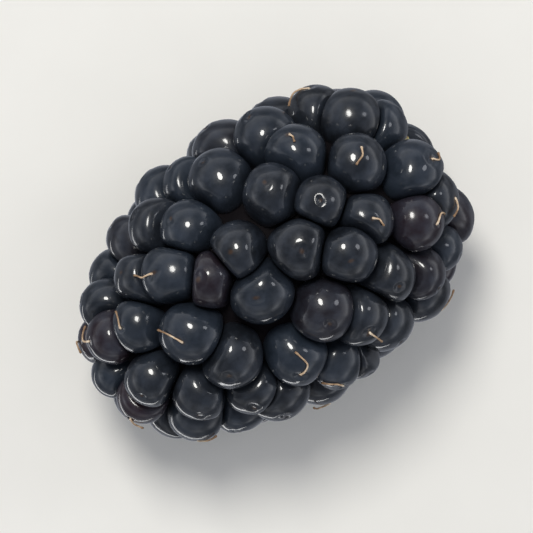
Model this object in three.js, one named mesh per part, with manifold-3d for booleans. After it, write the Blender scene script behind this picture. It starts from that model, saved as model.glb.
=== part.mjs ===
// A ripe bramble berry, picked and lying on its side: a head of glossy drupelets crowded on a
// spiral, and the pale end of the receptacle that they grew on, bared where the stalk let go.
// Millimetres, +Z up, the surface it lies on at Z = 0, tip towards -X and stem end towards +X.
import * as THREE from "three";
import { mergeVertices } from "three/addons/utils/BufferGeometryUtils.js";
import Module from "manifold-3d";

const wasm = await Module();
wasm.setup();

// The seat is the egg-shaped surface that the drupelets' centres sit on. A place on it is an angle
// round its profile, from 0 at the tip.
const seatHalfLength = 13.4;
const seatRadius = 8.3;
const seatBluntness = 0.86; // below 1 the ends are blunter than an ellipsoid's
const seatTaper = 0.1; // how much slimmer the tip half is than the stem half
const spiralEnd = THREE.MathUtils.degToRad(147); // where the spiral of drupelets ends
const ringAngle = THREE.MathUtils.degToRad(156); // where the last ring crowds round the receptacle
const ringCount = 7;

// The drupelets, and the golden-angle spiral that they follow.
const spacing = 4.1; // from a drupelet to its neighbours, centre to centre
const tipSpacing = 0.8; // the crowding at the tip, as a share of the spacing
const stemSpacing = 0.9; // and at the stem end
const goldenAngle = Math.PI * (3 - Math.sqrt(5));
const hexagonShare = Math.sqrt(3) / 2; // a drupelet's share of the seat, in spacings squared
const walkSteps = 3000; // how finely the spiral's walk is cut
const sizeSpread = 0.12; // drupelets are this much larger or smaller than the rule says
const placeSpread = 0.24; // and this far off the spiral, in spacings
const proudSpread = 0.06; // and this much prouder or deeper
const roomShare = 0.6; // how far a drupelet swells or shrinks to suit the room it has
const roomNeighbours = 5; // the room is the mean distance to this many neighbours
const leanToTip = THREE.MathUtils.degToRad(7); // they point a little towards the tip

// The draws that place the drupelets are seeded by what each is for, and by the drupelet's number.
const drawFor = { along: 1, round: 2, proud: 3, size: 4 };
const drawMix = { number: 12.9898, purpose: 78.233, wave: 43758.5453 }; // any unrelated numbers do

// A drupelet's own shape, in spacings: a round cap on a root that narrows as it goes in.
const girth = 0.64; // its half width
const rise = 0.66; // how far it stands out of the seat
const root = 0.8; // how far its root goes in
const capRings = 3;
const drupeletSides = 9;

// The receptacle's end, a plug of flesh that sits in the base of the head.
const plugRadius = 2.4;
const plugDepth = 3.4; // how far it goes in from its face
const plugTaper = 0.5; // it is this much slimmer at its inner end
const plugProud = 1.4; // how far its face stands out past the ring's seats
const plugBrow = 0.9; // the straight rim behind the face
const plugEdge = 0.3; // the rounding of the rim
const crownRadius = 1.3; // the raised ring on the face, round the scar
const crownRise = 0.25; // how far it stands past the rim
const scarRadius = 0.75; // the pit where the stalk's strands tore
const scarDepth = 0.7;
const plugSides = 24;
const gap = 0.15; // the clearance between the plug and the head

// The flesh inside the head, which the roots sink into.
const fleshRise = 0.8; // it fills the creases this far above the seat
const fleshSides = 16;
const fleshSteps = 10;

// How it lies: turned about its own axis, then dipped at the tip, onto three drupelets.
const restTurn = THREE.MathUtils.degToRad(86.57);
const restDip = THREE.MathUtils.degToRad(1.51);
const footDepth = 0.14; // its own weight flattens the lowest drupelets by this much

const skinColour = 0x16151c;
const fleshColour = 0xc3c08d;

// A draw from -1 to 1 that depends only on the drupelet's number and on what the draw is for.
function draw(number, purpose) {
  const wave = Math.sin(number * drawMix.number + purpose * drawMix.purpose) * drawMix.wave;
  return 2 * (wave - Math.floor(wave)) - 1;
}

// The seat's profile: how far along the axis it is, and how far out, at an angle from the tip.
function seatAt(angle) {
  return {
    along: -seatHalfLength * Math.cos(angle),
    out: seatRadius * Math.sin(angle) ** seatBluntness * (1 - seatTaper * Math.cos(angle)),
  };
}

// The direction that faces out of the seat at an angle, as parts along the axis and out from it.
function seatFacing(angle) {
  const nudge = 0.01;
  const before = seatAt(Math.max(angle - nudge, 0));
  const after = seatAt(angle + nudge);
  return new THREE.Vector2(before.out - after.out, after.along - before.along).normalize();
}

// The spacing at an angle: drupelets are smaller towards both ends.
function spacingAt(angle) {
  const tipward = Math.max(Math.cos(angle), 0) ** 2;
  const stemward = Math.max(-Math.cos(angle), 0) ** 2;
  return spacing * (1 - (1 - tipSpacing) * tipward - (1 - stemSpacing) * stemward);
}

// Walks from the tip towards the stem end, sets a drupelet each time there is room for one more,
// and closes the head with a ring.
function drupeletPlaces() {
  const places = [];
  const step = spiralEnd / walkSteps;
  let room = 0;
  for (let i = 0; i < walkSteps; i++) {
    const near = seatAt(i * step);
    const far = seatAt((i + 1) * step);
    const angle = (i + 0.5) * step;
    const slant = Math.hypot(far.along - near.along, far.out - near.out);
    room += (Math.PI * (near.out + far.out) * slant) / (hexagonShare * spacingAt(angle) ** 2);
    const number = places.length;
    if (room >= number + 0.5) places.push(placeOf(number, angle, number * goldenAngle));
  }
  for (let i = 0; i < ringCount; i++) {
    places.push(placeOf(places.length, ringAngle, (2 * Math.PI * i) / ringCount));
  }
  return places.map((place) => ({ ...place, size: suitedSize(place, places) }));
}

// A drupelet's size once it has filled, or been held back by, the room that its neighbours leave.
function suitedSize(place, places) {
  const others = places.filter((other) => other !== place);
  const apart = others.map((other) => other.centre.distanceTo(place.centre)).sort((a, b) => a - b);
  const room = apart.slice(0, roomNeighbours).reduce((sum, each) => sum + each, 0) / roomNeighbours;
  return THREE.MathUtils.lerp(place.size, room, roomShare);
}

// A drupelet's centre, the way it points, and its size, in a frame with the axis along +X.
function placeOf(number, ruleAngle, ruleTurn) {
  const local = spacingAt(ruleAngle);
  const stray = placeSpread * local;
  const angle = Math.abs(ruleAngle + (draw(number, drawFor.along) * stray) / seatHalfLength);
  const turn = ruleTurn + (draw(number, drawFor.round) * stray) / Math.max(seatAt(ruleAngle).out, local);
  const spot = seatAt(angle);
  const lean = leanToTip * Math.sin(angle);
  const facing = seatFacing(angle).rotateAround(new THREE.Vector2(0, 0), lean);
  const outward = new THREE.Vector3(0, Math.cos(turn), Math.sin(turn));
  const axis = outward.clone().multiplyScalar(facing.y).setX(facing.x).normalize();
  const centre = outward.multiplyScalar(spot.out).setX(spot.along);
  centre.addScaledVector(axis, draw(number, drawFor.proud) * proudSpread * local);
  return { centre, axis, size: local * (1 + sizeSpread * draw(number, drawFor.size)) };
}

// A closed geometry as a solid that can be joined and cut.
function solidOf(geometry) {
  const bare = geometry.clone();
  bare.deleteAttribute("normal");
  bare.deleteAttribute("uv");
  const merged = mergeVertices(bare, 1e-4);
  const vertProperties = merged.attributes.position.array;
  const triVerts = new Uint32Array(merged.index.array);
  return new wasm.Manifold(new wasm.Mesh({ numProp: 3, vertProperties, triVerts }));
}

// A solid back as a geometry.
function geometryOf(solid) {
  const mesh = solid.getMesh();
  const geometry = new THREE.BufferGeometry();
  geometry.setAttribute("position", new THREE.BufferAttribute(mesh.vertProperties, 3));
  geometry.setIndex(new THREE.BufferAttribute(mesh.triVerts, 1));
  geometry.computeVertexNormals();
  return geometry;
}

// Spins a profile of [out, along] pairs about the berry's axis, +X.
function spun(profile, sides) {
  const points = profile.map(([out, along]) => new THREE.Vector2(out, along));
  return new THREE.LatheGeometry(points, sides).rotateZ(-Math.PI / 2);
}

// One drupelet: a round cap outside, and a root that sinks into the flesh.
function drupelet({ centre, axis, size }) {
  const profile = [[0, -root]];
  for (let ring = capRings; ring >= 0; ring--) {
    const slope = (Math.PI / 2) * (ring / capRings);
    profile.push([girth * Math.sin(slope), rise * Math.cos(slope)]);
  }
  const pointing = new THREE.Quaternion().setFromUnitVectors(new THREE.Vector3(1, 0, 0), axis);
  const shape = spun(profile, drupeletSides).scale(size, size, size).applyQuaternion(pointing);
  return shape.translate(centre.x, centre.y, centre.z);
}

// The flesh that the drupelets' roots sink into, closed at both ends.
function flesh() {
  const profile = [];
  for (let i = 0; i <= fleshSteps; i++) {
    const angle = ringAngle * (i / fleshSteps);
    const spot = seatAt(angle);
    const facing = seatFacing(angle);
    const out = i === 0 ? 0 : spot.out + fleshRise * facing.y;
    profile.push([out, spot.along + fleshRise * facing.x]);
  }
  const [, stemEndAlong] = profile[fleshSteps];
  profile.push([0, stemEndAlong]);
  return spun(profile, fleshSides);
}

const plugFace = seatAt(ringAngle).along + plugProud;
const plugInner = plugFace - plugDepth;

// The receptacle's end: a tapered plug with a rounded rim, a low crown and a torn pit in the middle.
function plug() {
  const profile = [
    [0, plugInner],
    [plugRadius - plugTaper, plugInner],
    [plugRadius, plugFace - plugBrow],
    [plugRadius, plugFace - plugEdge],
    [plugRadius - plugEdge, plugFace],
    [crownRadius, plugFace + crownRise],
    [scarRadius, plugFace],
    [scarRadius / 2, plugFace - scarDepth],
    [0, plugFace - scarDepth],
  ];
  return spun(profile, plugSides);
}

// The socket that the plug sits in, open towards the stalk.
function socket() {
  const profile = [
    [0, plugInner - gap],
    [plugRadius - plugTaper + gap, plugInner - gap],
    [plugRadius + gap, plugFace - plugBrow],
    [plugRadius + gap, plugFace + spacing],
    [0, plugFace + spacing],
  ];
  return spun(profile, plugSides);
}

// Lays a geometry made along the axis down as the berry lies.
function laid(geometry) {
  return geometry.rotateX(restTurn).rotateY(-restDip);
}

// The surface that the berry lies on, as a block that presses small flat feet into the head.
function ground(solid) {
  const shape = geometryOf(solid);
  shape.computeBoundingBox();
  const level = shape.boundingBox.min.z + footDepth;
  const breadth = 4 * seatHalfLength;
  return new THREE.BoxGeometry(breadth, breadth, breadth).translate(0, 0, level - breadth / 2);
}

// The head: drupelets grown together on their flesh, with the receptacle's socket and the feet.
function head() {
  const grown = [flesh(), ...drupeletPlaces().map(drupelet)];
  const joined = grown.map((shape) => solidOf(laid(shape))).reduce((all, next) => all.add(next));
  const socketed = joined.subtract(solidOf(laid(socket())));
  return geometryOf(socketed.subtract(solidOf(ground(socketed))));
}

const drupelets = new THREE.Mesh(
  head(),
  new THREE.MeshStandardMaterial({ color: skinColour, roughness: 0.25, metalness: 0 }),
);
drupelets.name = "drupelets";

const receptacle = new THREE.Mesh(
  laid(plug()),
  new THREE.MeshStandardMaterial({ color: fleshColour, roughness: 0.8, metalness: 0 }),
);
receptacle.name = "receptacle";

// The berry's frame stands on the surface, under the middle of its box.
const berry = new THREE.Group();
berry.add(drupelets, receptacle);
const box = new THREE.Box3().setFromObject(berry, true);
const middle = box.getCenter(new THREE.Vector3());
berry.position.set(-middle.x, -middle.y, -box.min.z);

export default berry;
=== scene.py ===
# A ripe bramble berry lying on its side, seen from straight above on a pale surface.
# The head is grown by the same rule as its solid, with fine drupelets that press on each other.
import math

import bpy
import numpy as np
from mathutils import Matrix, Quaternion, Vector, noise


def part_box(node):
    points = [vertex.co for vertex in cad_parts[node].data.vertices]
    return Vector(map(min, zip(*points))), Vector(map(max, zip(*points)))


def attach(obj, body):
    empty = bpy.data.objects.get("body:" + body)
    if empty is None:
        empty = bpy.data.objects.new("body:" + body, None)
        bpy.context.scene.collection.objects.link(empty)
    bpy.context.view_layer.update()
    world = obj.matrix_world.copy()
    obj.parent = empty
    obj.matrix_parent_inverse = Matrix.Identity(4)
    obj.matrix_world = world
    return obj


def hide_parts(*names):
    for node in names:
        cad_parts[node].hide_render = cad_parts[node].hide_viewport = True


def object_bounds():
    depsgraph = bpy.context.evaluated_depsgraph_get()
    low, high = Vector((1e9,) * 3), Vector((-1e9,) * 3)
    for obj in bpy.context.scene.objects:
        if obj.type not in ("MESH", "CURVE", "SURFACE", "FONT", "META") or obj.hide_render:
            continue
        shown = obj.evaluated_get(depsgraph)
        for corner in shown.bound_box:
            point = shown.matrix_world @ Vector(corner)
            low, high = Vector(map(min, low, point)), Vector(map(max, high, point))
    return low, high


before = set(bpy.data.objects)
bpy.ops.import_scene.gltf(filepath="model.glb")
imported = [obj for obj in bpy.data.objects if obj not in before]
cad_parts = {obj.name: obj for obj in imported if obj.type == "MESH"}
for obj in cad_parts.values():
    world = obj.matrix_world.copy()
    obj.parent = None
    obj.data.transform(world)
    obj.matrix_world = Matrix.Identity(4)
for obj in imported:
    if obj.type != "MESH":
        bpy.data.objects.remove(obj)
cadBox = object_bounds()
mm = 0.001

# The rule that places the drupelets, in millimetres and spacings, as the solid's own source has it.
growth = {
    "seatHalfLength": 13.4,  # the egg that the drupelets' middles sit on
    "seatRadius": 8.3,
    "seatBluntness": 0.86,  # under 1 its ends are blunter than an ellipse's
    "seatTaper": 0.1,  # how much slimmer it is towards the tip, and fuller towards the stem
    "spiralEnd": math.radians(147),
    "ringAngle": math.radians(156),  # where a ring closes the head round the receptacle
    "ringCount": 7,
    "spacing": 4.1,
    "tipSpacing": 0.8,  # at the tip and at the stem end, as shares of the spacing
    "stemSpacing": 0.9,
    "walkSteps": 3000,
    "sizeSpread": 0.12,  # how far sizes, places and heights stray from the rule
    "placeSpread": 0.24,
    "proudSpread": 0.06,
    "roomShare": 0.6,  # how far each swells or shrinks to suit its nearest neighbours
    "roomNeighbours": 5,
    "leanToTip": math.radians(7),
    "restTurn": math.radians(86.57),  # how it turned about its axis, and dipped, to lie at rest
    "restDip": math.radians(1.51),
}
drawFor = {
    "along": 1,
    "round": 2,
    "proud": 3,
    "size": 4,
    "twist": 5,
    "ripe": 6,
    "lump": 7,
    "style": 8,
    "overlap": 9,
    "gloss": 10,
}
drawMix = {"number": 12.9898, "purpose": 78.233, "wave": 43758.5453}


def draw(number, purpose):
    # from -1 to 1, and the same each time for the same drupelet and purpose
    wave = math.sin(number * drawMix["number"] + drawFor[purpose] * drawMix["purpose"]) * drawMix["wave"]
    return 2 * (wave - math.floor(wave)) - 1


def share(number, purpose):
    # the same draw from 0 to 1
    return (draw(number, purpose) + 1) / 2


def seatAt(angle):
    along = -growth["seatHalfLength"] * math.cos(angle)
    bulge = growth["seatRadius"] * math.sin(angle) ** growth["seatBluntness"]
    return along, bulge * (1 - growth["seatTaper"] * math.cos(angle))


def seatFacing(angle):
    nudge = 0.01
    beforeAlong, beforeOut = seatAt(max(angle - nudge, 0))
    afterAlong, afterOut = seatAt(angle + nudge)
    return Vector((beforeOut - afterOut, afterAlong - beforeAlong)).normalized()


def spacingAt(angle):
    tipward = max(math.cos(angle), 0) ** 2
    stemward = max(-math.cos(angle), 0) ** 2
    less = (1 - growth["tipSpacing"]) * tipward + (1 - growth["stemSpacing"]) * stemward
    return growth["spacing"] * (1 - less)


def placeOf(number, ruleAngle, ruleTurn):
    local = spacingAt(ruleAngle)
    stray = growth["placeSpread"] * local
    angle = abs(ruleAngle + draw(number, "along") * stray / growth["seatHalfLength"])
    turn = ruleTurn + draw(number, "round") * stray / max(seatAt(ruleAngle)[1], local)
    along, out = seatAt(angle)
    facing = seatFacing(angle)
    facing.rotate(Matrix.Rotation(growth["leanToTip"] * math.sin(angle), 2))
    around = Vector((0, math.cos(turn), math.sin(turn)))
    axis = Vector((facing.x, around.y * facing.y, around.z * facing.y)).normalized()
    centre = Vector((along, around.y * out, around.z * out))
    centre += axis * (draw(number, "proud") * growth["proudSpread"] * local)
    size = local * (1 + growth["sizeSpread"] * draw(number, "size"))
    return {"number": number, "centre": centre, "axis": axis, "size": size}


def suitedSize(place, places):
    # its size once it has filled, or been held back by, the room that its neighbours leave
    apart = sorted((other["centre"] - place["centre"]).length for other in places if other is not place)
    room = sum(apart[: growth["roomNeighbours"]]) / growth["roomNeighbours"]
    return place["size"] + (room - place["size"]) * growth["roomShare"]


def drupeletPlaces():
    # walks from the tip, sets a drupelet each time there is room for one, and closes with a ring
    places = []
    goldenAngle = math.pi * (3 - math.sqrt(5))
    hexagonShare = math.sqrt(3) / 2
    step = growth["spiralEnd"] / growth["walkSteps"]
    room = 0
    for i in range(growth["walkSteps"]):
        nearAlong, nearOut = seatAt(i * step)
        farAlong, farOut = seatAt((i + 1) * step)
        angle = (i + 0.5) * step
        slant = math.hypot(farAlong - nearAlong, farOut - nearOut)
        room += math.pi * (nearOut + farOut) * slant / (hexagonShare * spacingAt(angle) ** 2)
        number = len(places)
        if room >= number + 0.5:
            places.append(placeOf(number, angle, number * goldenAngle))
    for i in range(growth["ringCount"]):
        places.append(placeOf(len(places), growth["ringAngle"], 2 * math.pi * i / growth["ringCount"]))
    for place, size in zip(places, [suitedSize(place, places) for place in places]):
        place["size"] = size
    return places


# The receptacle's plug, in millimetres. Its profile is pairs of how far out and how far along.
plug = {
    "radius": 2.4,
    "depth": 3.4,
    "taper": 0.5,
    "proud": 1.4,
    "brow": 0.9,
    "edge": 0.3,
    "crownRadius": 1.3,
    "crownRise": 0.25,
    "scarRadius": 0.75,
    "scarDepth": 0.7,
    "gap": 0.15,
}
plug["face"] = seatAt(growth["ringAngle"])[0] + plug["proud"]
plug["inner"] = plug["face"] - plug["depth"]
plug["profile"] = [
    (plug["radius"] - plug["taper"], plug["inner"]),
    (plug["radius"], plug["face"] - plug["brow"]),
    (plug["radius"], plug["face"] - plug["edge"]),
    (plug["radius"] - plug["edge"], plug["face"]),
    (plug["crownRadius"], plug["face"] + plug["crownRise"]),
    (plug["scarRadius"], plug["face"]),
    (plug["scarRadius"] / 2, plug["face"] - plug["scarDepth"]),
]


def berryToRest():
    # turns and moves from the berry's own frame, with its axis along X, to where the solids lie;
    # the plug is round, so the box of its node shows where the axis is
    turned = Matrix.Rotation(-growth["restDip"], 4, "Y") @ Matrix.Rotation(growth["restTurn"], 4, "X")
    low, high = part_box("receptacle")
    dipCos, dipSin = math.cos(growth["restDip"]), math.sin(growth["restDip"])
    nearest = min(along * dipCos - out * dipSin for out, along in plug["profile"])
    lowest = min(along * dipSin - out * dipCos for out, along in plug["profile"])
    shift = Vector((low.x - nearest * mm, (low.y + high.y) / 2, low.z - lowest * mm))
    return Matrix.Translation(shift) @ turned @ Matrix.Scale(mm, 4)


toRest = berryToRest()
places = drupeletPlaces()
print(f"rule: {len(places)} drupelets")


# Helpers for modelling by operators

def deselectAll():
    if bpy.context.mode != "OBJECT":
        bpy.ops.object.mode_set(mode="OBJECT")
    bpy.ops.object.select_all(action="DESELECT")


def pickOnly(obj):
    deselectAll()
    obj.select_set(True)
    bpy.context.view_layer.objects.active = obj


def applyPlace(obj):
    pickOnly(obj)
    bpy.ops.object.transform_apply(location=True, rotation=True, scale=True)


def ownCopy(obj):
    # a copy of a piece that repeats, with its own mesh
    copied = obj.copy()
    copied.data = obj.data.copy()
    bpy.context.scene.collection.objects.link(copied)
    return copied


def vertexArray(mesh):
    points = np.empty(len(mesh.vertices) * 3, np.float32)
    mesh.vertices.foreach_get("co", points)
    return points.reshape(-1, 3).astype(float)


def setVertices(mesh, points):
    mesh.vertices.foreach_set("co", points.astype(np.float32).ravel())
    mesh.update()


def setAttribute(mesh, name, values):
    attribute = mesh.attributes.get(name) or mesh.attributes.new(name, "FLOAT", "POINT")
    attribute.data.foreach_set("value", np.asarray(values, np.float32))


def throughMatrix(matrix, points):
    m = np.array(matrix)
    return points @ m[:3, :3].T + m[:3, 3]


def noiseAt(points, often=1, shift=(0, 0, 0)):
    # smooth noise around 0 at each point, with this many lumps to a unit of length
    return np.array([noise.noise(Vector(p) * often + Vector(shift)) for p in points])


def joinAll(objects, name):
    deselectAll()
    for obj in objects:
        obj.select_set(True)
    bpy.context.view_layer.objects.active = objects[0]
    bpy.ops.object.join()
    joined = bpy.context.active_object
    joined.name = name
    joined.data.name = name
    return joined


def shadeSmooth(obj):
    pickOnly(obj)
    bpy.ops.object.shade_smooth()


# Helpers for materials

def hexColour(code):
    # an sRGB colour such as "#1b1a22", as linear red, green, blue and alpha
    parts = [int(code[i : i + 2], 16) / 255 for i in (1, 3, 5)]
    return (*[p / 12.92 if p <= 0.04045 else ((p + 0.055) / 1.055) ** 2.4 for p in parts], 1.0)


def addNode(tree, kind, settings=None, links=None):
    # settings are node properties or, where the key names a socket, that socket's value
    node = tree.nodes.new(kind)
    for key, value in (settings or {}).items():
        if isinstance(key, int) or key in node.inputs:
            node.inputs[key].default_value = value
        else:
            setattr(node, key, value)
    for key, source in (links or {}).items():
        tree.links.new(source, node.inputs[key])
    return node


def addRamp(tree, source, stops):
    ramp = addNode(tree, "ShaderNodeValToRGB", links={"Fac": source})
    while len(ramp.color_ramp.elements) < len(stops):
        ramp.color_ramp.elements.new(0.5)
    for element, (position, colour) in zip(ramp.color_ramp.elements, stops):
        element.position = position
        element.color = hexColour(colour)
    return ramp


def newMaterial(name):
    material = bpy.data.materials.new(name)
    material.use_nodes = True
    material.node_tree.nodes.clear()
    return material, material.node_tree


def closeMaterial(tree, settings, links):
    shader = addNode(tree, "ShaderNodeBsdfPrincipled", settings, links)
    addNode(tree, "ShaderNodeOutputMaterial", links={"Surface": shader.outputs["BSDF"]})


# Camera, surface and light

view = {
    "height": 0.30,  # above the surface
    "frameWidth": 39 * mm,  # how much the picture takes in at half the berry's height
    "turn": math.radians(-36),  # so that the tip points down and to the left
    "sensor": 36,  # millimetres wide
    "nearest": 10 * mm,  # nothing closer to the camera is drawn
    "tones": "Standard",  # colours as they are
}


def makeCamera():
    low, high = cadBox
    middle = (low + high) / 2
    camera = bpy.data.cameras.new("camera")
    camera.sensor_width = view["sensor"]
    camera.lens = view["sensor"] * (view["height"] - middle.z) / view["frameWidth"]
    camera.clip_start = view["nearest"]
    seen = bpy.data.objects.new("camera", camera)
    seen.location = (middle.x, middle.y, view["height"])
    seen.rotation_euler = (0, 0, view["turn"])
    bpy.context.scene.collection.objects.link(seen)
    bpy.context.scene.camera = seen
    bpy.context.scene.view_settings.view_transform = view["tones"]


surface = {
    "size": 5,
    "tones": [(0.3, "#e6e4de"), (0.7, "#e8e6e0")],
    "grain": 6 * mm,
    "roughness": 0.6,
    "gloss": 0.2,
}


def surfaceCard():
    # Matt white card: a faint unevenness and hardly any gloss
    material, tree = newMaterial("matt_white_card")
    coord = addNode(tree, "ShaderNodeTexCoord")
    cloud = addNode(
        tree,
        "ShaderNodeTexNoise",
        {"Scale": 1 / surface["grain"], "Detail": 3.0},
        {"Vector": coord.outputs["Object"]},
    )
    tint = addRamp(tree, cloud.outputs["Fac"], surface["tones"])
    closeMaterial(
        tree,
        {"Roughness": surface["roughness"], "Specular IOR Level": surface["gloss"]},
        {"Base Color": tint.outputs["Color"]},
    )
    return material


def makeSurface():
    deselectAll()
    bpy.ops.mesh.primitive_plane_add(size=surface["size"], location=(0, 0, 0))
    floor = bpy.context.active_object
    floor.name = "surface"
    floor.data.materials.append(surfaceCard())
    floor.visible_glossy = False  # so that no pale surface shows in the skin's gloss


studio = {
    # from straight below, at 0, past a brighter horizon to straight above, at 1
    "sky": [
        (0.0, "#6a6d74"),
        (0.46, "#6a6d74"),
        (0.55, "#c9cbd0"),
        (0.62, "#a3a6ad"),
        (0.75, "#6c7079"),
        (1.0, "#4a4e58"),
    ],
    "skyStrength": (0.7, 2.5),  # the room is brighter in some directions than in others
    "skyPatches": 1.7,  # how fine those patches are
    "patchEdge": (0.35, 0.65),  # where in the patches the strength starts to rise, and ends
    "lampDistance": 0.5,
    "lamps": [
        # name, where it stands towards the picture's right and top and above the berry, width and
        # height, power, colour, and whether it shows in gloss; lamp_low lights only gloss, because
        # the surface hides it from everything else
        ("lamp_main", (-0.14, 0.4, 1), (0.13, 0.19), 1.5, "#fffdf8", True),
        ("lamp_side", (1.04, 0.45, 1), (0.12, 0.12), 0.15, "#f6f8ff", True),
        ("lamp_low", (-0.7, -1.0, -0.95), (1.2, 0.07), 0.8, "#ffffff", True),
        ("lamp_fill", (0, 0, 1), (0.9, 0.9), 1.15, "#ffffff", False),
    ],
}


def lampPlace(towards):
    # a place in that direction of the picture, at the lamps' distance from the berry
    return Matrix.Rotation(view["turn"], 3, "Z") @ Vector(towards).normalized() * studio["lampDistance"]


def makeSky():
    # soft grey light all round, by height and in broad patches
    world = bpy.data.worlds.new("studio")
    world.use_nodes = True
    tree = world.node_tree
    tree.nodes.clear()
    coord = addNode(tree, "ShaderNodeTexCoord")
    parts = addNode(tree, "ShaderNodeSeparateXYZ", links={"Vector": coord.outputs["Generated"]})
    height = addNode(
        tree,
        "ShaderNodeMapRange",
        {"From Min": -1.0, "From Max": 1.0},
        {"Value": parts.outputs["Z"]},
    )
    sky = addRamp(tree, height.outputs["Result"], studio["sky"])
    patches = addNode(
        tree,
        "ShaderNodeTexNoise",
        {"Scale": studio["skyPatches"], "Detail": 1.0},
        {"Vector": coord.outputs["Generated"]},
    )
    dimmest, brightest = studio["skyStrength"]
    begin, end = studio["patchEdge"]
    strength = addNode(
        tree,
        "ShaderNodeMapRange",
        {"From Min": begin, "From Max": end, "To Min": dimmest, "To Max": brightest},
        {"Value": patches.outputs["Fac"]},
    )
    glow = addNode(
        tree,
        "ShaderNodeBackground",
        links={"Color": sky.outputs["Color"], "Strength": strength.outputs["Result"]},
    )
    addNode(tree, "ShaderNodeOutputWorld", links={"Surface": glow.outputs["Background"]})
    bpy.context.scene.world = world


def makeLamps():
    for name, towards, size, power, colour, inGloss in studio["lamps"]:
        light = bpy.data.lights.new(name, "AREA")
        light.shape = "ELLIPSE"
        light.size, light.size_y = size
        light.energy = power
        light.color = hexColour(colour)[:3]
        lamp = bpy.data.objects.new(name, light)
        lamp.location = lampPlace(towards)
        lamp.rotation_euler = lamp.location.to_track_quat("Z", "Y").to_euler()
        lamp.visible_camera = False
        lamp.visible_glossy = inGloss
        bpy.context.scene.collection.objects.link(lamp)


makeCamera()
makeSurface()
makeSky()
makeLamps()
print("camera, surface and studio: done")


# The head of drupelets

drupelet = {
    "girth": 0.63,  # half width, in spacings
    "rise": 0.66,  # how far it stands out of the seat
    "sides": 56,
    "rings": 16,  # from its waist to the hollow on its top
    "root": [(0.3, -1.05), (0.6, -0.68)],  # half width and depth, on a ball of radius 1
    "waist": math.radians(-18),
    "pole": 0.01,  # half width of the last face on its top
    "hollowReach": 0.16,  # half width of the hollow that the style leaves on the top
    "hollowDepth": 0.06,
    "hollowOval": 0.3,  # how far from round and from the middle it is
    "hollowLean": 0.9,  # how much deeper it is on one side than on the other
    "hollowRarity": 0.9,  # how few of them are deep
    "hollowUneven": 1.3,  # how far its depth varies, and at how many lumps a unit
    "hollowLumps": 5,
    "hollowRings": 9,  # closer rings for it, and how far out they start, in its half widths
    "hollowBrink": 2.2,
    "lipHeight": 0.012,  # the lip round it, and how far out that is, in the same half widths
    "lipPlace": 1.6,
    "lipSharpness": 6,
    "scarReach": 0.09,  # half width of the brown mark in the hollow
    "scarEdge": 1.4,  # how sharply it ends
    "press": 9,  # how sharply neighbours flatten each other: higher is sharper
    "crease": 0.01,  # millimetres left between two neighbours
    "reach": 1.5,  # neighbours press on it from up to this many spacings away
    "vigour": 0.05,  # some push harder on their neighbours than others
    "overlap": 0.35,  # and some bulge over them: how far the face between two may lean
    "tilt": math.radians(5),  # how far a drupelet leans from the rule
    "lumps": [(0.024, 1.3), (0.006, 4.0)],  # how far from round it is, and at how many lumps a size
    "lumpStep": (3.1, 1.7, 0),  # how far on in the noise the next drupelet's lumps are
    "pieces": ["drupelets_tipward", "drupelets_middle", "drupelets_stemward"],  # a third of them in each
}

core = {
    "rise": -0.6,  # millimetres from the drupelets' seat
    "sides": 64,
    "steps": 30,
    "begin": math.radians(15),
    "end": math.radians(150),
    # near-black: partly juice stain, partly painted shade for the gaps between the drupelets
    "tones": [(0.3, "#070508"), (0.8, "#0e090d")],
    "grain": 0.5 * mm,
}


def filledIn(shape, steps):
    # the same list of pairs with about this many more, spaced evenly along it
    points = np.array(shape, float)
    lengths = np.hypot(*np.diff(points, axis=0).T)
    walked = np.concatenate([[0], np.cumsum(lengths)])
    stops = np.union1d(walked, np.linspace(0, walked[-1], steps))
    return [(np.interp(w, walked, points[:, 0]), np.interp(w, walked, points[:, 1])) for w in stops]


def turnedBody(name, profile, sides):
    # a round body made by extruding a disc through a list of (out, along) pairs, along Z
    deselectAll()
    firstOut, firstAlong = profile[0]
    bpy.ops.mesh.primitive_circle_add(
        vertices=sides, radius=firstOut, fill_type="NGON", location=(0, 0, firstAlong)
    )
    body = bpy.context.active_object
    body.name = name
    applyPlace(body)
    bpy.ops.object.mode_set(mode="EDIT")
    bpy.ops.mesh.select_all(action="SELECT")
    for (out, along), (nextOut, nextAlong) in zip(profile, profile[1:]):
        rise = (0, 0, nextAlong - along)
        bpy.ops.mesh.extrude_region_move(TRANSFORM_OT_translate={"value": rise})
        bpy.ops.transform.resize(value=(nextOut / out, nextOut / out, 1))
    bpy.ops.mesh.select_all(action="SELECT")
    bpy.ops.mesh.normals_make_consistent(inside=False)
    bpy.ops.object.mode_set(mode="OBJECT")
    return body


alongX = Matrix(((0, 0, 1, 0), (0, 1, 0, 0), (-1, 0, 0, 0), (0, 0, 0, 1)))  # turns +Z to +X


def modelCore():
    # the flesh under the drupelets, with the socket that the receptacle sits in
    shape = []
    for i in range(1, core["steps"] + 1):
        angle = core["begin"] + (core["end"] - core["begin"]) * i / core["steps"]
        along, out = seatAt(angle)
        facing = seatFacing(angle)
        shape.append((out + core["rise"] * facing.y, along + core["rise"] * facing.x))
    socket = plug["radius"] + 2 * plug["gap"]
    shape.append((socket, shape[-1][1]))
    shape.append((socket, plug["inner"] - 2 * plug["gap"]))
    body = turnedBody("core", shape, core["sides"])
    setVertices(body.data, throughMatrix(toRest @ alongX, vertexArray(body.data)))
    body.data.materials.append(innerFlesh())
    return body


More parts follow.
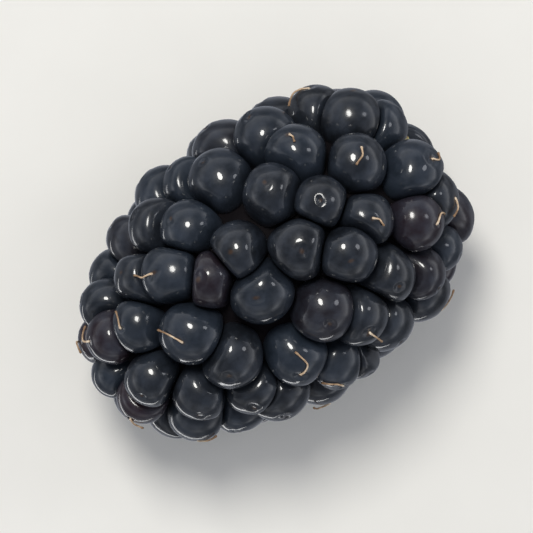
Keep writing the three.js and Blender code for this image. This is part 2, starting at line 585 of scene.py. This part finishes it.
def innerFlesh():
    # Wet inner flesh without the skin's gloss, near-black: partly stained by juice, partly painted shade
    # where it shows deep in the gaps between the drupelets
    material, tree = newMaterial("juice_stain_and_painted_shade_flesh")
    coord = addNode(tree, "ShaderNodeTexCoord")
    grain = addNode(
        tree,
        "ShaderNodeTexNoise",
        {"Scale": 1 / core["grain"], "Detail": 3.0},
        {"Vector": coord.outputs["Object"]},
    )
    tint = addRamp(tree, grain.outputs["Fac"], core["tones"])
    closeMaterial(
        tree, {"Roughness": 0.8, "Specular IOR Level": 0.15}, {"Base Color": tint.outputs["Color"]}
    )
    return material


def modelDrupelet():
    # a ball of radius 1 on a root that narrows, with closer rings where its top is hollowed
    shape = list(drupelet["root"])
    brink = drupelet["hollowBrink"] * drupelet["hollowReach"]
    climb = math.acos(brink) - drupelet["waist"]
    for i in range(drupelet["rings"] + 1):
        angle = drupelet["waist"] + climb * i / drupelet["rings"]
        shape.append((math.cos(angle), math.sin(angle)))
    for i in range(1, drupelet["hollowRings"]):
        out = brink * (1 - i / drupelet["hollowRings"])
        shape.append((out, math.sqrt(1 - out**2)))
    shape.append((drupelet["pole"], 1))
    return turnedBody("drupelet", shape, drupelet["sides"])


def ownReach(place):
    # its half width before its neighbours press on it
    vigour = 1 + drupelet["vigour"] * draw(place["number"], "lump")
    return drupelet["girth"] * place["size"] * vigour


def pairLean(place, other):
    # how far the face between two neighbours leans, with opposite signs seen from either
    first, second = sorted((place["number"], other["number"]))
    lean = drupelet["overlap"] * draw(first * len(places) + second, "overlap")
    return lean if place["number"] == first else -lean


def contactPlanes(place):
    # where this drupelet meets its neighbours: the direction of each face, and how far off it is
    planes = []
    own = place["reach"]
    for other in places:
        if other is place:
            continue
        between = other["centre"] - place["centre"]
        apart = between.length
        if apart > drupelet["reach"] * growth["spacing"]:
            continue
        meet = (apart**2 + own**2 - other["reach"] ** 2) / (2 * apart) - drupelet["crease"]
        towards = between / apart
        outward = (place["axis"] + other["axis"]).normalized()
        facing = (towards + outward * pairLean(place, other)).normalized()
        planes.append((facing, meet * facing.dot(towards)))
    clear = place["centre"].yz.length - plug["radius"] - plug["gap"]  # room beside the receptacle
    if clear < own and place["centre"].x > 0:
        inward = Vector((0, -place["centre"].y, -place["centre"].z)).normalized()
        planes.append((inward, clear))
    return planes


def hollowTop(points, number):
    # sinks the hollow of its style into the top of a ball, and returns the strength of the mark in it
    oval = 1 + drupelet["hollowOval"] * draw(number, "proud")
    aside = drupelet["hollowOval"] * drupelet["hollowReach"] * draw(number, "along")
    wide = 1 + drupelet["hollowOval"] * draw(number, "size")
    out = np.hypot(points[:, 0] * oval - aside, points[:, 1] / oval) / wide
    onTop = points[:, 2] > 0
    inHollow = np.exp(-((out / drupelet["hollowReach"]) ** 2))
    fromLip = out / drupelet["hollowReach"] - drupelet["lipPlace"]
    onLip = np.exp(-(fromLip**2) * drupelet["lipSharpness"])
    carve = drupelet["hollowDepth"] * inHollow - drupelet["lipHeight"] * onLip
    carve *= 1 + drupelet["hollowUneven"] * noiseAt(points, drupelet["hollowLumps"], (number, 0, 0))
    carve *= 1 + drupelet["hollowLean"] * points[:, 0] / (out + drupelet["scarReach"])
    carve *= share(number, "twist") ** drupelet["hollowRarity"]
    points[:, 2] -= np.where(onTop, carve, 0)
    return np.where(onTop, np.clip(drupelet["scarEdge"] * (1 - out / drupelet["scarReach"]), 0, 1), 0)


def lumpy(points, place):
    # a little off round, each drupelet in its own way
    shift = [step * place["number"] for step in drupelet["lumpStep"]]
    swell = np.ones(len(points))
    for lump, often in drupelet["lumps"]:
        swell += lump * noiseAt(points, often / place["size"], shift)
    return points * swell[:, None]


def pressed(points, place):
    # held back smoothly where it meets its neighbours
    push = np.zeros(len(points))
    for normal, meet in contactPlanes(place):
        push += (np.maximum(points @ np.array(normal), 0) / meet) ** drupelet["press"]
    return points * ((1 + push) ** (-1 / drupelet["press"]))[:, None]


def growDrupelet(ball, place, skins):
    # a copy of the ball, hollowed, pointed out of the seat, lumped, and pressed on its neighbours
    number = place["number"]
    grown = ownCopy(ball)
    points = vertexArray(ball.data)
    scar = hollowTop(points, number)
    points[:, :2] *= place["reach"]
    points[:, 2] *= drupelet["rise"] * place["size"]
    twist = Quaternion((0, 0, 1), math.pi * draw(number, "twist"))
    tilt = Quaternion((1, 0, 0), drupelet["tilt"] * draw(number, "lump"))
    pointing = Vector((0, 0, 1)).rotation_difference(place["axis"]) @ twist @ tilt
    points = throughMatrix(pointing.to_matrix().to_4x4(), points)
    points = pressed(lumpy(points, place), place)
    points = throughMatrix(toRest, points + np.array(place["centre"]))
    points[:, 2] = np.maximum(points[:, 2], 0)  # flat where it lies on the surface
    setVertices(grown.data, points)
    grown.data.materials[0] = next(m for m, most in skins if share(number, "gloss") <= most)
    setAttribute(grown.data, "ripeness", np.full(len(points), share(number, "ripe")))
    setAttribute(grown.data, "scar", scar)
    place["top"] = Vector(points[np.argmax(scar)])
    place["up"] = (toRest.to_3x3() @ place["axis"]).normalized()
    place["middle"] = toRest @ place["centre"]
    place["spokes"] = points - np.array(place["middle"])
    return grown


skin = {
    # by the share of the drupelets: a few plum, most black and the rest slate
    "tones": [(0.0, "#25161d"), (0.25, "#181b20"), (0.6, "#181b20"), (1.0, "#1f262f")],
    "scar": "#3a2a1e",
    "mottle": 1.6 * mm,
    # blue-grey patches: partly wax bloom, partly painted sheen
    "bloomAndSheen": "#38404d",
    "bloomAndSheenEdge": (0.4, 0.72),  # where in the mottle the bloom and painted sheen start, and are thickest
    "bloomAndSheenMost": 0.4,
    "softEdge": (0.3, 0.7),  # where in the mottle the softer gloss starts to roughen, and ends
    "softRoughness": (0.28, 0.5),
    "peel": 0.2 * mm,  # between the skin's finest bumps, and how deep they are
    "peelDepth": 0.03 * mm,
    # how rough the clear gloss is, and the share of the drupelets that are at least as glossy
    "glosses": {
        "ripe_bramble_skin_wet": (0.025, 0.5),
        "ripe_bramble_skin": (0.07, 0.8),
        "ripe_bramble_skin_dusty": (0.14, 1.0),
    },
}


def berrySkin(name, glossRoughness):
    # Ripe drupelet skin: taut, wet-looking and near-black, with a clear gloss over a softer one.
    # Some drupelets are more purple, and thin blue-grey patches lie on it: partly wax bloom, partly
    # painted sheen.
    material, tree = newMaterial(name)
    coord = addNode(tree, "ShaderNodeTexCoord")
    ripe = addNode(tree, "ShaderNodeAttribute", {"attribute_name": "ripeness"})
    scar = addNode(tree, "ShaderNodeAttribute", {"attribute_name": "scar"})
    mottle = addNode(
        tree,
        "ShaderNodeTexNoise",
        {"Scale": 1 / skin["mottle"], "Detail": 4.0, "Roughness": 0.6},
        {"Vector": coord.outputs["Object"]},
    )
    tint = addRamp(tree, ripe.outputs["Fac"], skin["tones"])
    begin, end = skin["bloomAndSheenEdge"]
    # how much of the blue-grey bloom and painted sheen each spot gets
    bloomAndSheenShare = addNode(
        tree,
        "ShaderNodeMapRange",
        {"From Min": begin, "From Max": end, "To Min": 0.0, "To Max": skin["bloomAndSheenMost"]},
        {"Value": mottle.outputs["Fac"]},
    )
    withBloomAndSheen = addNode(
        tree,
        "ShaderNodeMix",
        {"data_type": "RGBA", "B": hexColour(skin["bloomAndSheen"])},
        {"Factor": bloomAndSheenShare.outputs["Result"], "A": tint.outputs["Color"]},
    )
    scarred = addNode(
        tree,
        "ShaderNodeMix",
        {"data_type": "RGBA", "B": hexColour(skin["scar"])},
        {"Factor": scar.outputs["Fac"], "A": withBloomAndSheen.outputs["Result"]},
    )
    begin, end = skin["softEdge"]
    smoothest, roughest = skin["softRoughness"]
    softGloss = addNode(
        tree,
        "ShaderNodeMapRange",
        {"From Min": begin, "From Max": end, "To Min": smoothest, "To Max": roughest},
        {"Value": mottle.outputs["Fac"]},
    )
    peel = addNode(
        tree,
        "ShaderNodeTexNoise",
        {"Scale": 1 / skin["peel"], "Detail": 2.0},
        {"Vector": coord.outputs["Object"]},
    )
    bumps = addNode(
        tree,
        "ShaderNodeBump",
        {"Strength": 0.3, "Distance": skin["peelDepth"]},
        {"Height": peel.outputs["Fac"]},
    )
    closeMaterial(
        tree,
        {
            "IOR": 1.38,
            "Specular IOR Level": 0.4,
            "Coat Weight": 1.0,
            "Coat Roughness": glossRoughness,
            "Coat IOR": 1.46,
        },
        {
            "Base Color": scarred.outputs["Result"],
            "Roughness": softGloss.outputs["Result"],
            "Normal": bumps.outputs["Normal"],
        },
    )
    return material


def makeHead():
    ball = modelDrupelet()
    skins = [(berrySkin(name, rough), most) for name, (rough, most) in skin["glosses"].items()]
    ball.data.materials.append(skins[0][0])
    for place in places:
        place["reach"] = ownReach(place)
    copies = [growDrupelet(ball, place, skins) for place in places]
    bpy.data.objects.remove(ball)
    third = math.ceil(len(copies) / len(drupelet["pieces"]))
    flesh = [modelCore()]  # goes with the first piece
    faces = 0
    for i, name in enumerate(drupelet["pieces"]):
        part = joinAll(copies[i * third : (i + 1) * third] + flesh, name)
        flesh = []
        shadeSmooth(part)
        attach(part, "root")
        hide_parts("drupelets")
        faces += len(part.data.polygons)
    return faces


headFaces = makeHead()
print(f"head: {headFaces} faces")


# The receptacle's end, where the stalk let go

receptacle = {
    "sides": 120,
    "steps": 70,
    "flare": [(3.9, 2.7), (3.3, 2.1), (2.8, 1.5)],  # its shoulder: half width, and depth under the face
    "middle": 0.01,  # nothing is measured closer to its axis than this, in millimetres
    "coarse": 1.6,  # how many coarse and how many fine lumps of tearing a millimetre
    "fine": 6.0,
    "tear": 0.16,  # millimetres of tearing on its face, which ends this many scar depths under it
    "tearDepth": 1.2,
    "furrow": 0.13,  # millimetres of ridge and furrow down its side
    "furrows": 2.2,  # about how many a millimetre of its rim
    "furrowPlace": 5.0,  # the slice of the noise that they are cut from
    "ray": 0.1,  # the pith's rays, which run out from the middle
    "rays": 5.0,
    "rayWeight": 0.5,  # how much they count beside the fibres in its colour
    "crownWidth": 0.45,  # of the ring on its face where the stalk's strands tore off
    "strands": 11,
    "strandStray": 3,  # how unevenly they stand, how narrow they are, and how high
    "strandSharpness": 3,
    "strandRise": 0.22,
    "strandSink": 0.4,  # how much of that rise the crown sinks between them
    "tones": [(0.45, "#8f9159"), (0.85, "#cfc998")],
    "fibre": 0.3 * mm,
    "fibreDepth": 0.08 * mm,
    "torn": "#6b4c28",
    "tornReach": 1.9,  # how far out the middle is brown, in scar widths, and how unevenly
    "tornStray": 1.5,
    "specks": 0.5,  # how brown the torn strands and the specks are
    "juice": "#3f1d2a",
    "juiceAtRim": 0.35,  # how strong the juice is there, and how much stronger a millimetre on
    "juiceSpread": 1.2,
    "darkeningDepth": 0.6,  # how far under the face the flesh starts to darken with depth, in millimetres
    "mostStain": 0.85,
}


def fleshMaterial():
    # Receptacle flesh: pale yellow-green pith in rays, matt and moist, browning where it tore
    # and stained by juice where it meets the drupelets, and darker the deeper it lies under the face
    material, tree = newMaterial("receptacle_pith")
    coord = addNode(tree, "ShaderNodeTexCoord")
    torn = addNode(tree, "ShaderNodeAttribute", {"attribute_name": "torn"})
    rays = addNode(tree, "ShaderNodeAttribute", {"attribute_name": "rays"})
    juice = addNode(tree, "ShaderNodeAttribute", {"attribute_name": "juice"})
    fibres = addNode(
        tree,
        "ShaderNodeTexNoise",
        {"Scale": 1 / receptacle["fibre"], "Detail": 5.0, "Roughness": 0.65},
        {"Vector": coord.outputs["Object"]},
    )
    streaks = addNode(
        tree,
        "ShaderNodeMath",
        {"operation": "MULTIPLY_ADD", 1: receptacle["rayWeight"]},
        {0: rays.outputs["Fac"], 2: fibres.outputs["Fac"]},
    )
    tint = addRamp(tree, streaks.outputs["Value"], receptacle["tones"])
    browned = addNode(
        tree,
        "ShaderNodeMix",
        {"data_type": "RGBA", "B": hexColour(receptacle["torn"])},
        {"Factor": torn.outputs["Fac"], "A": tint.outputs["Color"]},
    )
    stained = addNode(
        tree,
        "ShaderNodeMix",
        {"data_type": "RGBA", "B": hexColour(receptacle["juice"])},
        {"Factor": juice.outputs["Fac"], "A": browned.outputs["Result"]},
    )
    bumps = addNode(
        tree,
        "ShaderNodeBump",
        {"Strength": 0.6, "Distance": receptacle["fibreDepth"]},
        {"Height": fibres.outputs["Fac"]},
    )
    closeMaterial(
        tree,
        {"Roughness": 0.55, "IOR": 1.4, "Subsurface Weight": 0.3, "Subsurface Scale": 0.4 * mm},
        {"Base Color": stained.outputs["Result"], "Normal": bumps.outputs["Normal"]},
    )
    return material


def tearReceptacle(points):
    # furrows the side and tears the face, and returns how torn, rayed and juicy each point is
    out = np.maximum(np.hypot(points[:, 0], points[:, 1]), receptacle["middle"])
    turn = np.arctan2(points[:, 1], points[:, 0])
    rim = points[:, :2] / out[:, None]
    rough = noiseAt(points, receptacle["coarse"])
    fine = noiseAt(points, receptacle["fine"])
    ray = noiseAt(np.column_stack([rim * receptacle["rays"], out]))
    often = receptacle["furrows"] * plug["radius"] / 2
    furrow = noiseAt(np.column_stack([rim * often, np.full(len(out), receptacle["furrowPlace"])]))
    overTear = points[:, 2] - plug["face"] + receptacle["tearDepth"] * plug["scarDepth"]
    onFace = np.clip(overTear / plug["scarDepth"], 0, 1)
    outside = np.clip((out - plug["scarRadius"]) / plug["scarRadius"], 0, 1)
    sideways = 1 + receptacle["furrow"] * outside * (2 * furrow + ray + fine) / out
    points[:, :2] *= sideways[:, None]
    crown = np.exp(-(((out - plug["crownRadius"]) / receptacle["crownWidth"]) ** 2))
    wave = np.cos(receptacle["strands"] * turn + receptacle["strandStray"] * rough)
    strands = np.maximum(wave, 0) ** receptacle["strandSharpness"]
    lift = receptacle["strandRise"] * crown * (strands - receptacle["strandSink"])
    lift += receptacle["tear"] * (2 * rough + fine) + receptacle["ray"] * ray * outside
    points[:, 2] += lift * onFace
    middle = receptacle["tornReach"] - out / plug["scarRadius"] + receptacle["tornStray"] * rough
    torn = np.clip(middle, 0, receptacle["mostStain"]) * onFace
    torn += receptacle["specks"] * (crown * strands * onFace + np.maximum(rough + fine, 0))
    juice = receptacle["juiceAtRim"] + receptacle["juiceSpread"] * (out - plug["radius"])
    juice += rough + furrow / 2
    # darker the deeper it lies under the face, down between the drupelets
    deep = (plug["face"] - receptacle["darkeningDepth"] - points[:, 2]) / 2
    juice = np.clip(np.maximum(juice, deep), 0, receptacle["mostStain"])
    return {"torn": np.clip(torn, 0, 1), "rays": ray + 0.5, "juice": juice}


def makeReceptacle():
    # the plug with a shoulder that shows between the drupelets round it, then furrowed and torn
    shoulder = [(out, plug["face"] - below) for out, below in receptacle["flare"]]
    shape = filledIn(shoulder + plug["profile"][2:], receptacle["steps"])
    body = turnedBody("receptacle_end", shape, receptacle["sides"])
    points = vertexArray(body.data)
    marks = tearReceptacle(points)
    setVertices(body.data, throughMatrix(toRest @ alongX, points))
    for name, values in marks.items():
        setAttribute(body.data, name, values)
    shadeSmooth(body)
    body.data.materials.append(fleshMaterial())
    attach(body, "root")
    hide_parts("receptacle")


makeReceptacle()
print("receptacle: done")


# The dried styles that some drupelets still carry

style = {
    "share": 0.26,  # of the drupelets carry one
    "length": (0.9 * mm, 2.7 * mm),
    "shortness": 1.5,  # how many more of them are short than long
    "thickness": 0.19 * mm,
    "waist": 0.7,  # how thick it is along most of it, as a share of that
    "foot": (0.5, 0.1),  # how much thicker its foot is, and over what share of its length
    "stigma": (0.35, 0.93, 0.06),  # how much thicker its end is, where, and over what share
    "steps": 16,
    "sides": 6,
    "lay": math.radians(80),  # how far it leans once it has left the skin
    "layFrom": 0.125,  # the share of its length that it leaves the skin in
    "hug": (0.55, 1.05),  # how closely it then follows the drupelet's roundness
    "curl": math.radians(50),
    "kink": math.radians(55),
    "kinked": 1.4,  # at this, about two in three have a kink
    "kinkPlace": 0.5,  # where it is, and over what share of the length
    "kinkLength": 0.04,
    "slant": 0.01,  # keeps the first direction across it off its own heading
    "rooted": 0.08 * mm,  # how deep in the hollow it starts
    "above": 0.05 * mm,  # how far its middle line stays above the skin
    "lowest": 3 * mm,  # none where the berry lies on it
    "tones": [(0.35, "#e6d8c3"), (0.7, "#c3a88a"), (1.0, "#866a50")],
    "browning": 0.6,  # how much its length counts beside its blotches
    "blotch": 0.5 * mm,
}


def modelStyle():
    # a thread of unit length with a wider foot and end, standing on Z
    wider, footLength = style["foot"]
    swollen, stigmaPlace, stigmaLength = style["stigma"]
    profile = []
    for i in range(style["steps"] + 1):
        along = i / style["steps"]
        width = style["waist"] + wider * math.exp(-along / footLength)
        width += swollen * math.exp(-(((along - stigmaPlace) / stigmaLength) ** 2))
        profile.append((width / 2, along))
    return turnedBody("thread", profile, style["sides"])


def outOfSkin(spot, place):
    # a spot of the thread, lifted out of the drupelet's own skin where it has sunk into it
    away = spot - place["middle"]
    facing = away.normalized()
    lengths = np.linalg.norm(place["spokes"], axis=1)
    nearest = np.argmax(place["spokes"] @ np.array(facing) / lengths)
    return place["middle"] + facing * max(away.length, lengths[nearest] + style["above"])


def bendThread(points, place, sideways, length, bend, curl, kink):
    # lays a unit thread along a curve that leaves upward, soon lies down, curls round and may kink
    upward = place["up"]
    around = upward.cross(sideways)
    levels = np.unique(points[:, 2])
    laid = np.array(points)
    spot = place["top"] - upward * style["rooted"]
    before = levels[0]
    for level in levels:
        lean = style["lay"] * min(level / style["layFrom"], 1) + bend * level
        turn = curl * level + kink / (1 + math.exp((style["kinkPlace"] - level) / style["kinkLength"]))
        heading = upward * math.cos(lean)
        heading += (sideways * math.cos(turn) + around * math.sin(turn)) * math.sin(lean)
        if level > 0:
            spot = outOfSkin(spot + heading * (length * (level - before)), place)
        before = level
        acrossOne = heading.cross(around + sideways * style["slant"]).normalized()
        acrossTwo = heading.cross(acrossOne)
        ring = np.isclose(points[:, 2], level)
        offset = points[ring][:, :1] * np.array(acrossOne) + points[ring][:, 1:2] * np.array(acrossTwo)
        laid[ring] = np.array(spot) + offset * style["thickness"]
    return laid


def styleMaterial():
    # Dried style: a papery tan thread that browns towards its end
    material, tree = newMaterial("dried_style")
    coord = addNode(tree, "ShaderNodeTexCoord")
    along = addNode(tree, "ShaderNodeAttribute", {"attribute_name": "along"})
    blotch = addNode(
        tree,
        "ShaderNodeTexNoise",
        {"Scale": 1 / style["blotch"], "Detail": 2.0},
        {"Vector": coord.outputs["Object"]},
    )
    mixed = addNode(
        tree,
        "ShaderNodeMath",
        {"operation": "MULTIPLY_ADD", 1: style["browning"]},
        {0: along.outputs["Fac"], 2: blotch.outputs["Fac"]},
    )
    tint = addRamp(tree, mixed.outputs["Value"], style["tones"])
    closeMaterial(tree, {"Roughness": 0.7, "IOR": 1.4}, {"Base Color": tint.outputs["Color"]})
    return material


def growStyle(thread, place):
    # a copy of the thread, laid from its drupelet's hollow with a length and bends of its own
    number = place["number"]
    shortest, longest = style["length"]
    loosest, closest = style["hug"]
    sideways = place["up"].orthogonal().normalized()
    sideways.rotate(Quaternion(place["up"], math.pi * draw(number, "lump")))
    length = shortest + (longest - shortest) * share(number, "along") ** style["shortness"]
    hug = loosest + (closest - loosest) * share(number, "round")
    bend = hug * length / (place["reach"] * mm)
    curl = style["curl"] * draw(number, "ripe")
    kink = style["kink"] * round(style["kinked"] * draw(number, "twist"))
    grown = ownCopy(thread)
    points = vertexArray(thread.data)
    setAttribute(grown.data, "along", points[:, 2])
    setVertices(grown.data, bendThread(points, place, sideways, length, bend, curl, kink))
    return grown


def makeStyles():
    thread = modelStyle()
    threads = []
    for place in places:
        carried = share(place["number"], "style") <= style["share"]
        if carried and place["top"].z >= style["lowest"]:
            threads.append(growStyle(thread, place))
    bpy.data.objects.remove(thread)
    styles = joinAll(threads, "dried_styles")
    shadeSmooth(styles)
    styles.data.materials.append(styleMaterial())
    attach(styles, "root")
    return len(threads)


styleCount = makeStyles()
print(f"styles: {styleCount}")
